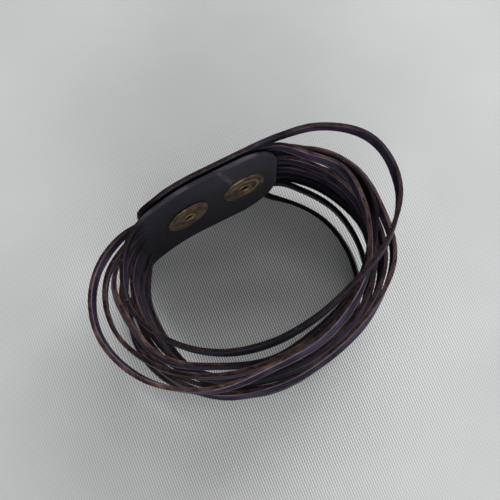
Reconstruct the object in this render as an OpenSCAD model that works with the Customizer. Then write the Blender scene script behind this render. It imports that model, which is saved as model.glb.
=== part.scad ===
// A wrist cuff cut from one strip of leather. The middle of the strip is slit
// lengthwise into twelve strands, and a solid tab is left at each end. The tabs
// overlap and are held by two press studs. The cuff lies on its side, so the
// hole for the wrist points up and the slits run level round the loop.
// Millimetres. X runs along the longest side, Z is up, and the floor is z = 0.
// The wrist is inside the loop, so "inner" means nearer to it.

/* [Leather] */
// Height of one strand's share of the strip, slit to slit
strand_pitch = 2.9; // [2.9:0.05:3.2]
// Width of a strand, a little less than its share
strand_w = 2.6; // [2.2:0.1:2.6]
// Thickness of the leather
leather_t = 1.2; // [0.8:0.1:1.2]

/* [Tabs] */
// Length of the inner tab, from its round end to the slits
inner_tab_len = 38.5; // [37.5:0.5:38.5]
// Length of the outer tab, from its round end to the slits
outer_tab_len = 34; // [34:0.5:36]
// How far the outer tab's round end passes the start of the inner tab's slits
outer_tab_past = 1; // [0:0.5:1]
// How far that end springs away from the inner tab
outer_tab_lift = 1.6; // [0:0.2:2]
// Radius of the inner tab's round corners
inner_tab_corner = 11; // [11:0.5:13]
// Radius of the outer tab's round corners
outer_tab_corner = 8; // [6:0.5:11]
// Clear space between the two fastened tabs
tab_gap = 1; // [1:0.1:1.6]
// Length of the bent stretch beside the inner tab's slits; the rest is straight
tab_bent_len = 16; // [14:1:17]
// How far that stretch turns round the wrist, in degrees
tab_bend = 14; // [14:0.5:16]

/* [Press studs] */
// Distance from the inner tab's slits to the first press stud
snap_first = 11.2; // [10:0.2:12]
// Distance between the two press studs
snap_step = 17.2; // [16.4:0.2:18]
// Diameter of the flange on the wrist side and of the cap outside
flange_d = 12.4; // [11:0.2:13]
// Diameter of the hole in the middle of the flange
eyelet_d = 2.4; // [1.6:0.2:2.6]
// Diameter of the barrels that pass through the leather
barrel_d = 3.6; // [3.2:0.1:4]

/* [Hidden] */

// Middle of the loop in the plan that the tables below use, and the place and
// heading of the inner tab where its slits start
plan_mid = [0, -6];
inner_root = [-26, 3.6];
inner_heading = 222;

// Bearings, in degrees round the middle of the loop, at which the reach of each
// strand is given. They run from the inner tab's slits, past the left, the front
// and the right, to the outer tab's slits.
BEARING = [173, 188, 208, 230, 255, 282, 310, 338, 365, 385, 405, 422, 436];

// Reach of each strand's middle line from the middle of the loop, one row for
// each strand from the top one down. Strand 1 swings out at the back right,
// strands 2 to 5, 9 and 12 at the left, strand 5 at the right.
REACH = [
    // left root, left, left, front left, front left, front, front right,
    // front right, right, back right, back right, back right, right root
    [30.6, 32.4, 33.7, 31.3, 28.1, 25.2, 24.4, 27.1, 35.5, 42.4, 44.4, 39.2, 32.8],
    [33.7, 39.5, 43.6, 42.6, 37.2, 30.4, 29.1, 29.5, 31.2, 32.5, 33.8, 31.5, 31.1],
    [31.8, 37.0, 39.6, 37.5, 32.7, 28.4, 26.9, 28.1, 32.0, 35.6, 36.4, 33.9, 31.9],
    [31.8, 35.6, 35.2, 34.2, 29.2, 26.9, 25.2, 27.0, 31.0, 34.8, 35.6, 33.9, 32.1],
    [31.0, 32.8, 35.0, 36.4, 36.2, 33.4, 32.1, 34.1, 37.9, 38.2, 39.1, 37.0, 32.9],
    [29.8, 30.9, 31.0, 31.6, 30.6, 29.0, 29.1, 31.0, 33.2, 34.3, 34.6, 33.9, 32.4],
    [29.5, 30.8, 32.1, 32.6, 30.8, 29.0, 29.8, 32.0, 36.0, 37.0, 36.8, 34.7, 32.4],
    [29.2, 29.8, 29.8, 30.4, 30.2, 29.0, 28.7, 28.6, 31.8, 35.0, 35.1, 34.0, 32.4],
    [32.2, 34.6, 33.6, 33.1, 31.3, 30.2, 29.8, 32.2, 35.6, 36.1, 35.2, 34.0, 32.2],
    [28.4, 28.8, 28.4, 29.5, 30.2, 29.8, 28.8, 30.6, 33.4, 35.1, 34.4, 33.4, 32.0],
    [27.9, 27.8, 27.0, 27.6, 29.0, 29.6, 29.0, 30.4, 32.0, 32.4, 32.6, 31.9, 31.6],
    [29.5, 32.8, 34.7, 34.0, 30.8, 29.2, 28.4, 29.2, 29.8, 29.5, 29.2, 28.5, 28.2],
];

// Bearings at which the lean of each strand is given, and the lean itself in
// degrees, positive where the strand's top edge leans away from the wrist
LEAN_BEARING = [185, 225, 275, 325, 365, 395, 422];
LEAN = [
    // left, front left, front, front right, right, back right, right root
    [20, 5, -16, -8, -8, 42, 8],
    [28, 28, -22, -36, -8, 28, 20],
    [6, 5, -5, -12, 0, 30, 22],
    [-12, -10, -5, -5, 5, 25, 15],
    [15, 5, -22, -27, 20, 42, 22],
    [20, 10, -15, -20, 8, 26, 12],
    [22, 12, -8, -12, 18, 24, 10],
    [20, 15, -5, -5, 25, 18, 10],
    [20, 20, 0, 0, 28, 10, 10],
    [20, 20, 5, 0, 28, 8, 5],
    [12, 10, 0, 0, 0, -2, -4],
    [5, 5, 0, -5, -20, -22, -22],
];

strands = len(REACH);
strip_w = strands * strand_pitch;
stack = leather_t + tab_gap;
bend_r = tab_bent_len / (tab_bend * PI / 180);

// Rings between two bearings of the table, and the length over which a strand
// narrows from its full share of the strip to its own width
steps = 5;
narrowing = 3;

// Columns along a tab, the last ones fitted to its round end
tab_cols = 14;
end_cols = 4;

function left_of(a) = [-sin(a), cos(a)];
function along(a) = [cos(a), sin(a)];
function unit(v) = v / norm(v);
function mix(a, b, f) = a + (b - a) * f;
function flat(rows) = [for (row = rows) each row];
function sum(v, i = 0) = i < len(v) ? v[i] + sum(v, i + 1) : 0;

// Heading of the overlapped tabs at distance s from the inner tab's slits, and
// a point of them in plan at offset d outside the inner tab's middle surface
function tab_heading(s) = inner_heading - tab_bend * min(s, tab_bent_len) / tab_bent_len;
bend_mid = inner_root + bend_r * left_of(inner_heading);
function tab_plan(s, d) = bend_mid - (bend_r + d) * left_of(tab_heading(s))
    - max(0, s - tab_bent_len) * along(tab_heading(s));

outer_root_s = outer_tab_len - outer_tab_past;
outer_root = tab_plan(outer_root_s, stack);
outer_heading = tab_heading(outer_root_s);

// Offset of the outer tab's middle surface. Beyond the first press stud its end
// springs away from the wrist.
lift_s = snap_first - flange_d / 2;
function outer_offset(s) = stack
    + outer_tab_lift * (max(0, lift_s - s) / (lift_s + outer_tab_past)) ^ 2;

// Bearings of the slit ends round the middle of the loop
function bearing_of(p) = atan2(p[1] - plan_mid[1], p[0] - plan_mid[0]);
inner_bearing = bearing_of(inner_root);
outer_bearing = bearing_of(outer_root) + 360;

// Control points of strand k: the two slit ends and the reach at each bearing
function stops(k) = concat([inner_root],
    [for (j = [0 : len(BEARING) - 1]) plan_mid + REACH[k][j] * along(BEARING[j])],
    [outer_root]);

// Direction of a strand at each control point, from its neighbours, the nearer
// one counting more, and along the tab at the slit ends
function headings(p) = [for (i = [0 : len(p) - 1])
    i == 0 ? along(inner_heading)
    : i == len(p) - 1 ? along(outer_heading)
    : let (before = p[i] - p[i - 1], after = p[i + 1] - p[i])
        unit(before * norm(after) / norm(before) + after * norm(before) / norm(after))];

// Smooth curve from a to b, with directions u and v there, at fraction f
function bow(a, b, u, v, f) = let (h = norm(b - a))
    (2 * f ^ 3 - 3 * f ^ 2 + 1) * a + (f ^ 3 - 2 * f ^ 2 + f) * h * u
    + (3 * f ^ 2 - 2 * f ^ 3) * b + (f ^ 3 - f ^ 2) * h * v;

// Middle line of strand k in plan, one point for each ring
function route(k) = let (p = stops(k), d = headings(p)) concat(
    [for (i = [0 : len(p) - 2], n = [0 : steps - 1])
        bow(p[i], p[i + 1], d[i], d[i + 1], n / steps)],
    [outer_root]);

// Lean of strand k at bearing b, eased between the columns of its table and
// down to nothing at the slit ends
lean_at = concat([inner_bearing], LEAN_BEARING, [outer_bearing]);
function ease(f) = let (g = min(1, max(0, f))) g * g * (3 - 2 * g);
function lean(k, b) = let (v = concat([0], LEAN[k], [0]))
    sum([for (i = [0 : len(v) - 2])
        (v[i + 1] - v[i]) * ease((b - lean_at[i]) / (lean_at[i + 1] - lean_at[i]))]);

// Bearing of ring n, even between the columns of the reach table
bearing_at = concat([inner_bearing], BEARING, [outer_bearing]);
function bearing(n) = let (i = min(floor(n / steps), len(bearing_at) - 2))
    mix(bearing_at[i], bearing_at[i + 1], n / steps - i);

rings = steps * (len(BEARING) + 1);

// Height of the middle of strand k, leaning by a at width w. The lowest strand
// lies on the floor.
function strand_z(k, w, a) = k == strands - 1
    ? (w * cos(a) + leather_t * abs(sin(a))) / 2
    : strip_w - (k + 0.5) * strand_pitch;

// Distance along the points of a line, one value for each point
function distances(c) =
    [for (n = 0, s = 0; n < len(c); s = s + norm(c[min(n + 1, len(c) - 1)] - c[n]), n = n + 1) s];

// Four corners of each ring of strand k between the slit ends, from the inner
// bottom corner round by the outside
function strand_rings(k) = let (c = route(k), run = distances(c))
    [for (n = [1 : rings - 1])
        let (
            t = unit(c[n + 1] - c[n - 1]),
            out = [t[1], -t[0]],
            a = lean(k, bearing(n)),
            near = min(run[n], run[rings] - run[n]),
            w = mix(strand_pitch, strand_w, min(1, near / narrowing)),
            up = [out[0] * sin(a), out[1] * sin(a), cos(a)] * w / 2,
            thick = [out[0] * cos(a), out[1] * cos(a), -sin(a)] * leather_t / 2,
            m = [c[n][0], c[n][1], strand_z(k, w, a)])
        each [m - up - thick, m - up + thick, m + up + thick, m + up - thick]];

// Outline of a tab's round end with corners of radius r by row, counted from the
// bottom, as distance short of the tip and height
corner_rows = strands / 3;
function end_point(r, i) = let (
        low = 90 * i / corner_rows,
        high = 90 * (strands - i) / corner_rows)
    i <= corner_rows ? [r - r * sin(low), r - r * cos(low)]
    : i >= strands - corner_rows ? [r - r * sin(high), strip_w - r + r * cos(high)]
    : [0, mix(r, strip_w - r, (i - corner_rows) / (strands - 2 * corner_rows))];

// Distance from the slits and height of a tab's grid at column c and row i
function tab_grid(length, r, c, i) = let (
        plain_cols = tab_cols - end_cols,
        plain_len = length - r - 2,
        plain = [plain_len * min(1, c / plain_cols), i * strand_pitch],
        tip = [length - end_point(r, i)[0], end_point(r, i)[1]])
    mix(plain, tip, max(0, c - plain_cols) / end_cols);

// Inner and outer corner of a tab's wall there
function wall_pair(s, z, d) = [for (side = [-1, 1])
    let (p = tab_plan(s, d + side * leather_t / 2)) [p[0], p[1], z]];

inner_tab_points = [for (c = [tab_cols : -1 : 0], i = [0 : strands])
    let (g = tab_grid(inner_tab_len, inner_tab_corner, c, i)) each wall_pair(g[0], g[1], 0)];
outer_tab_points = [for (c = [0 : tab_cols], i = [0 : strands])
    let (g = tab_grid(outer_tab_len, outer_tab_corner, c, i), s = outer_root_s - g[0])
        each wall_pair(s, g[1], outer_offset(s))];
strand_points = [for (k = [0 : strands - 1]) each strand_rings(k)];
band_points = concat(inner_tab_points, outer_tab_points, strand_points);

// Places in that list: a tab's corner by column along the strip, row and side,
// and a ring's corner by strand, ring and corner. A strand's first and last ring
// are corners of the tabs.
tab_size = (tab_cols + 1) * (strands + 1) * 2;
function tab_at(tab, c, i, side) = tab * tab_size + (c * (strands + 1) + i) * 2 + side;
ROW_OF = [0, 0, 1, 1];
SIDE_OF = [0, 1, 1, 0];
function ring_at(k, n, q) =
    n == 0 ? tab_at(0, tab_cols, strands - 1 - k + ROW_OF[q], SIDE_OF[q])
    : n == rings ? tab_at(1, 0, strands - 1 - k + ROW_OF[q], SIDE_OF[q])
    : 2 * tab_size + (k * (rings - 1) + n - 1) * 4 + q;

function quad(a, b, c, d) = [[a, b, c], [a, c, d]];

strand_faces = [for (k = [0 : strands - 1], n = [0 : rings - 1], q = [0 : 3])
    each quad(ring_at(k, n, q), ring_at(k, n, (q + 1) % 4),
              ring_at(k, n + 1, (q + 1) % 4), ring_at(k, n + 1, q))];
tab_faces = [for (t = [0, 1], c = [0 : tab_cols - 1]) each concat(
    flat([for (i = [0 : strands - 1]) concat(
        quad(tab_at(t, c, i, 1), tab_at(t, c, i + 1, 1),
             tab_at(t, c + 1, i + 1, 1), tab_at(t, c + 1, i, 1)),
        quad(tab_at(t, c, i + 1, 0), tab_at(t, c, i, 0),
             tab_at(t, c + 1, i, 0), tab_at(t, c + 1, i + 1, 0)))]),
    quad(tab_at(t, c, 0, 0), tab_at(t, c, 0, 1),
         tab_at(t, c + 1, 0, 1), tab_at(t, c + 1, 0, 0)),
    quad(tab_at(t, c, strands, 1), tab_at(t, c, strands, 0),
         tab_at(t, c + 1, strands, 0), tab_at(t, c + 1, strands, 1)))];
end_faces = [for (i = [0 : strands - 1]) each concat(
    quad(tab_at(0, 0, i, 0), tab_at(0, 0, i + 1, 0),
         tab_at(0, 0, i + 1, 1), tab_at(0, 0, i, 1)),
    quad(tab_at(1, tab_cols, i, 0), tab_at(1, tab_cols, i, 1),
         tab_at(1, tab_cols, i + 1, 1), tab_at(1, tab_cols, i + 1, 0)))];

// The plan is moved so that the middle of its outer box is at the origin
xs = [for (p = band_points) p[0]];
ys = [for (p = band_points) p[1]];
box_mid = [(min(xs) + max(xs)) / 2, (min(ys) + max(ys)) / 2];

// Small gaps between pieces that touch in life
play = 0.05;

// Press studs 0 and 1, from the inner tab's slits. Each is built on +Z, which
// points away from the wrist, with its origin in the middle of the inner tab.
function snap_s(n) = snap_first + n * snap_step;
module at_snap(n) {
    p = tab_plan(snap_s(n), 0) - box_mid;
    translate([p[0], p[1], strip_w / 2])
        rotate([0, 90, tab_heading(snap_s(n)) - 90])
            children();
}

// How far a flat disc of diameter d stands off the middle of the bent leather
// where it rests on its hollow side
function hollow(n, d) = snap_s(n) - d / 2 < tab_bent_len ? d ^ 2 / (8 * bend_r) : 0;

inner_tab_face = leather_t / 2;
outer_tab_inside = stack - leather_t / 2;
outer_tab_face = stack + leather_t / 2;

module leather_band() color("#2a2629") difference() {
    translate([-box_mid[0], -box_mid[1], 0])
        polyhedron(points = band_points,
                   faces = concat(strand_faces, tab_faces, end_faces));
    for (n = [0, 1]) at_snap(n)
        translate([0, 0, -2 * leather_t])
            cylinder(h = stack + 4 * leather_t, d = barrel_d + 4 * play, $fn = 48);
}

// Wrist side of a press stud: a flange with a raised lip round its hole and a
// rolled rim, and the barrel that holds the stud on the far face of the tab
flange_t = 0.35;
module post(n) color("#7c6648") at_snap(n) {
    back = -inner_tab_face - hollow(n, flange_d) - play;
    hole = eyelet_d / 2;
    rim = flange_d / 2;
    rotate_extrude($fn = 96)
        polygon([[hole, back - 0.55], [hole + 0.5, back - 0.75], [hole + 1, back - 0.55],
                 [rim * 0.62, back - flange_t], [rim * 0.8, back - flange_t - 0.15],
                 [rim - 0.25, back - flange_t], [rim, back - 0.15], [rim, back],
                 [barrel_d / 2, back], [barrel_d / 2, inner_tab_face + play],
                 [hole, inner_tab_face + play]]);
}

// Male half of a press stud: a thin disc and a round knob with a waist
stud_disc_r = 4.4;
stud_disc_t = 0.2;
knob_r = 1.8;
knob_h = 0.55;
module stud(n) color("#8a7350") at_snap(n)
    translate([0, 0, inner_tab_face + 2 * play])
        rotate_extrude($fn = 96)
            polygon([[0, 0], [stud_disc_r, 0], [stud_disc_r, stud_disc_t],
                     [knob_r - 0.3, stud_disc_t], [knob_r, stud_disc_t + knob_h / 2],
                     [knob_r - 0.3, stud_disc_t + knob_h], [0, stud_disc_t + knob_h]]);

// Female half: a ring round the knob, under the outer tab
socket_r = 4.8;
socket_t = 0.4;
function socket_top(n) = outer_tab_inside - hollow(n, 2 * socket_r) - play;
module socket(n) color("#8a7350") at_snap(n)
    translate([0, 0, socket_top(n) - socket_t])
        rotate_extrude($fn = 96)
            polygon([[knob_r + 0.2, 0], [socket_r - 0.3, 0], [socket_r, socket_t / 2],
                     [socket_r, socket_t], [knob_r + 0.2, socket_t]]);

// Outside of a press stud: a low dome whose barrel passes through the outer tab
module cap(n) color("#7c6648") at_snap(n) {
    face = outer_tab_face + play;
    barrel_end = outer_tab_inside - play;
    rim = flange_d / 2;
    rotate_extrude($fn = 96)
        polygon([[0, barrel_end], [barrel_d / 2, barrel_end],
                 [barrel_d / 2, face], [rim - 0.2, face], [rim, face + 0.25],
                 [rim - 0.35, face + 0.75], [rim * 0.74, face + 1.15],
                 [rim * 0.42, face + 1.38], [0, face + 1.45]]);
}

leather_band();
post(0);  // post_left
post(1);  // post_right
stud(0);  // stud_left
stud(1);  // stud_right
socket(0);  // socket_left
socket(1);  // socket_right
cap(0);  // cap_left
cap(1);  // cap_right
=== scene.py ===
import logging
import math
from collections.abc import Callable
from dataclasses import dataclass, replace
from enum import Enum
from functools import partial

import bmesh
import bpy
import numpy as np
from bpy.types import ID, Material, Mesh, Node, NodeSocket, NodeTree, Object, World
from mathutils import Matrix, Vector


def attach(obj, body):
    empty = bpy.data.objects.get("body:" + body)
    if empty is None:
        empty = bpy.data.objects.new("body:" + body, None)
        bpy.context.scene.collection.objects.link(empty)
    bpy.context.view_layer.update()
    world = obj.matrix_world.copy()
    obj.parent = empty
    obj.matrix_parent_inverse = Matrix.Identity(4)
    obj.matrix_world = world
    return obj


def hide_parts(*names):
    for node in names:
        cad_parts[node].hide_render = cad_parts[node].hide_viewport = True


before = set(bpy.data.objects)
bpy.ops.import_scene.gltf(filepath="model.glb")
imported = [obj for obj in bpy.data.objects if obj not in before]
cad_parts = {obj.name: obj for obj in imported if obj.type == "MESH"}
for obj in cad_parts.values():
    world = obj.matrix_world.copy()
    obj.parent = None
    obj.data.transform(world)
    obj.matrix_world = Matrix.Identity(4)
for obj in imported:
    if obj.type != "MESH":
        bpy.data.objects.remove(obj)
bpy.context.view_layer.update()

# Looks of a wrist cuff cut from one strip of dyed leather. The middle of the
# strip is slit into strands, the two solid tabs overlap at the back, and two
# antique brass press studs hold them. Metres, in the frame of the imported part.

LOG = logging.getLogger("cuff")
MM = 0.001

# Bearings round the middle of the loop, in degrees, and the reach of each
# strand's middle line there, in millimetres, a row for each strand from the top.
# Then the bearings and degrees of each strand's lean out from the wrist. These
# four tables say what the part's source says.
BEARING = np.array([173, 188, 208, 230, 255, 282, 310, 338, 365, 385, 405, 422, 436], float)
REACH = np.array([
    [30.6, 32.4, 33.7, 31.3, 28.1, 25.2, 24.4, 27.1, 35.5, 42.4, 44.4, 39.2, 32.8],
    [33.7, 39.5, 43.6, 42.6, 37.2, 30.4, 29.1, 29.5, 31.2, 32.5, 33.8, 31.5, 31.1],
    [31.8, 37.0, 39.6, 37.5, 32.7, 28.4, 26.9, 28.1, 32.0, 35.6, 36.4, 33.9, 31.9],
    [31.8, 35.6, 35.2, 34.2, 29.2, 26.9, 25.2, 27.0, 31.0, 34.8, 35.6, 33.9, 32.1],
    [31.0, 32.8, 35.0, 36.4, 36.2, 33.4, 32.1, 34.1, 37.9, 38.2, 39.1, 37.0, 32.9],
    [29.8, 30.9, 31.0, 31.6, 30.6, 29.0, 29.1, 31.0, 33.2, 34.3, 34.6, 33.9, 32.4],
    [29.5, 30.8, 32.1, 32.6, 30.8, 29.0, 29.8, 32.0, 36.0, 37.0, 36.8, 34.7, 32.4],
    [29.2, 29.8, 29.8, 30.4, 30.2, 29.0, 28.7, 28.6, 31.8, 35.0, 35.1, 34.0, 32.4],
    [32.2, 34.6, 33.6, 33.1, 31.3, 30.2, 29.8, 32.2, 35.6, 36.1, 35.2, 34.0, 32.2],
    [28.4, 28.8, 28.4, 29.5, 30.2, 29.8, 28.8, 30.6, 33.4, 35.1, 34.4, 33.4, 32.0],
    [27.9, 27.8, 27.0, 27.6, 29.0, 29.6, 29.0, 30.4, 32.0, 32.4, 32.6, 31.9, 31.6],
    [29.5, 32.8, 34.7, 34.0, 30.8, 29.2, 28.4, 29.2, 29.8, 29.5, 29.2, 28.5, 28.2],
])
LEAN_BEARING = np.array([185, 225, 275, 325, 365, 395, 422], float)
LEAN = np.array([
    [20, 5, -16, -8, -8, 42, 8],
    [28, 28, -22, -36, -8, 28, 20],
    [6, 5, -5, -12, 0, 30, 22],
    [-12, -10, -5, -5, 5, 25, 15],
    [15, 5, -22, -27, 20, 42, 22],
    [20, 10, -15, -20, 8, 26, 12],
    [22, 12, -8, -12, 18, 24, 10],
    [20, 15, -5, -5, 25, 18, 10],
    [20, 20, 0, 0, 28, 10, 10],
    [20, 20, 5, 0, 28, 8, 5],
    [12, 10, 0, 0, 0, -2, -4],
    [5, 5, 0, -5, -20, -22, -22],
], float)
STRANDS = len(REACH)

# How bare of dye the cut edges of each strand are, from 0 to 1, at the bearings
# of the lean table. Low values also paint shade: near-black faces and edges, and
# weaker arris highlights, on strands that lie deep in the bundle
BARE_AND_LIT = np.array([
    [0.20, 0.20, 0.05, 0.10, 0.25, 0.35, 0.38],
    [0.75, 0.85, 0.90, 0.95, 0.70, 0.85, 0.80],
    [0.60, 0.60, 0.75, 0.25, 0.10, 0.10, 0.30],
    [0.90, 0.85, 0.05, 0.05, 0.05, 0.10, 0.20],
    [0.70, 0.35, 0.55, 0.75, 0.75, 0.75, 0.80],
    [0.80, 0.15, 0.10, 0.60, 0.45, 0.75, 0.80],
    [0.95, 0.25, 0.05, 0.55, 0.40, 0.05, 0.20],
    [0.75, 0.15, 0.05, 0.10, 0.15, 0.30, 0.60],
    [0.65, 0.30, 0.10, 0.10, 0.15, 0.15, 0.20],
    [1.00, 0.50, 0.02, 0.02, 0.05, 0.05, 0.10],
    [0.85, 0.35, 0.02, 0.02, 0.02, 0.02, 0.05],
    [0.10, 0.15, 0.05, 0.05, 0.05, 0.05, 0.05],
])

# Kinds of node that come up often, and their settings
ATTRIBUTE = "ShaderNodeAttribute"
MAP_RANGE = "ShaderNodeMapRange"
MATH = "ShaderNodeMath"
MIX = "ShaderNodeMix"
NOISE = "ShaderNodeTexNoise"
STORE = "GeometryNodeStoreNamedAttribute"
VECTOR_MATH = "ShaderNodeVectorMath"
WAVE = "ShaderNodeTexWave"
SMOOTH = {"interpolation_type": "SMOOTHSTEP"}
COLOUR = {"data_type": "RGBA"}
NUMBER = {"data_type": "FLOAT"}
VECTOR = {"data_type": "FLOAT_VECTOR"}
PLUS = {"operation": "ADD"}
MINUS = {"operation": "SUBTRACT"}
TIMES = {"operation": "MULTIPLY"}
TIMES_PLUS = {"operation": "MULTIPLY_ADD"}


class Tab(Enum):
    """The two solid ends of the strip."""

    INNER = 0
    OUTER = 1


class Snap(Enum):
    """The two press studs, counted from the inner tab's slits."""

    LEFT = 0
    RIGHT = 1


def along(degrees: float | np.ndarray) -> np.ndarray:
    """Unit vector in plan with that heading."""
    a = np.radians(degrees)
    return np.stack([np.cos(a), np.sin(a)], axis=-1)


def left_of(degrees: float | np.ndarray) -> np.ndarray:
    """Unit vector in plan to the left of that heading."""
    a = np.radians(degrees)
    return np.stack([-np.sin(a), np.cos(a)], axis=-1)


def ease(f: np.ndarray) -> np.ndarray:
    """Smooth step from 0 to 1 for f from 0 to 1."""
    g = np.clip(f, 0, 1)
    return g * g * (3 - 2 * g)


def linear(code: str) -> tuple[float, float, float, float]:
    """Linear colour of an sRGB hex code.

    Args:
        code: such as "#5b3a30".

    Returns:
        Red, green, blue and a full alpha.
    """
    values = [int(code[i:i + 2], 16) / 255 for i in (1, 3, 5)]
    values = [v / 12.92 if v <= 0.04045 else ((v + 0.055) / 1.055) ** 2.4 for v in values]
    return (*values, 1.0)


def add(tree: NodeTree, kind: str, inputs: dict | tuple = (),
        out: int | str | None = 0, **settings: str) -> NodeSocket | Node:
    """Adds a node with its settings, values and links.

    Args:
        tree: the node tree.
        kind: the node's type.
        inputs: values by input name or number, or a tuple of them from the first
            input on. A socket is linked, and an sRGB hex code is made linear.
        out: the output to give back, or None for the node itself.
        settings: attributes of the node.

    Returns:
        The output's socket, or the node.
    """
    node = tree.nodes.new(kind)
    for name, value in settings.items():
        setattr(node, name, value)
    pairs = inputs.items() if isinstance(inputs, dict) else enumerate(inputs)
    for name, value in pairs:
        if isinstance(value, NodeSocket):
            tree.links.new(value, node.inputs[name])
        elif isinstance(value, str) and value.startswith("#"):
            node.inputs[name].default_value = linear(value)
        else:
            node.inputs[name].default_value = value
    return node if out is None else node.outputs[out]


def fresh_nodes(block: Material | World) -> Callable[..., NodeSocket]:
    """Empties the node tree of a material or a world.

    Args:
        block: the material or the world.

    Returns:
        What adds a node to it.
    """
    block.use_nodes = True
    block.node_tree.nodes.clear()
    return partial(add, block.node_tree)


def mesh_object(name: str, mesh: Mesh) -> Object:
    """Links a new object for a mesh, at the origin.

    Args:
        name: its name.
        mesh: its mesh.

    Returns:
        The object.
    """
    piece = bpy.data.objects.new(name, mesh)
    bpy.context.scene.collection.objects.link(piece)
    return piece


def frozen(piece: Object) -> Mesh:
    """The evaluated mesh of an object with its modifiers, as a plain mesh."""
    graph = bpy.context.evaluated_depsgraph_get()
    return bpy.data.meshes.new_from_object(piece.evaluated_get(graph))


def read_attribute(mesh: Mesh, name: str, width: int) -> np.ndarray:
    """A point attribute's values as rows of the given width.

    Args:
        mesh: the mesh that carries it.
        name: its name.
        width: 1 for a number and 3 for a vector.

    Returns:
        A row for each point.
    """
    data = mesh.attributes[name].data
    values = np.zeros(len(data) * width, np.float32)
    data.foreach_get("vector" if width == 3 else "value", values)
    return values.reshape(-1, width)


def carrying(name: str, points: np.ndarray, edges: list, faces: list,
             values: dict[str, np.ndarray]) -> Mesh:
    """A mesh that carries values, each a number or a vector for each point.

    Args:
        name: its name.
        points: a row for each point.
        edges: its loose edges, as pairs of points.
        faces: its faces, as runs of points.
        values: the values by name.

    Returns:
        The mesh.
    """
    mesh = bpy.data.meshes.new(name)
    mesh.from_pydata(points.tolist(), edges, faces)
    for key, rows in values.items():
        kind, slot = ("FLOAT", "value") if rows.ndim == 1 else ("FLOAT_VECTOR", "vector")
        layer = mesh.attributes.new(key, kind, "POINT")
        layer.data.foreach_set(slot, rows.astype(np.float32).ravel())
    return mesh


def stacked(parts: list[dict[str, np.ndarray]]) -> dict[str, np.ndarray]:
    """The rows of each name, one part after another."""
    return {name: np.concatenate([part[name] for part in parts]) for name in parts[0]}


def waves(run: np.ndarray, seed: int, length: float, count: int = 6) -> np.ndarray:
    """Smooth random line of about unit height along a run, a sum of sine waves.

    Args:
        run: distances in millimetres.
        seed: fixed start of the random numbers.
        length: mean wave length in millimetres.
        count: number of waves, six of which add up to about 2.5.

    Returns:
        One value for each distance.
    """
    random = np.random.default_rng(seed)
    total = np.zeros_like(run)
    for _ in range(count):
        size = length * random.uniform(0.5, 2.0)
        total += np.sin(2 * np.pi * run / size + random.uniform(0, 2 * np.pi))
    return total / 2.5


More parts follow.
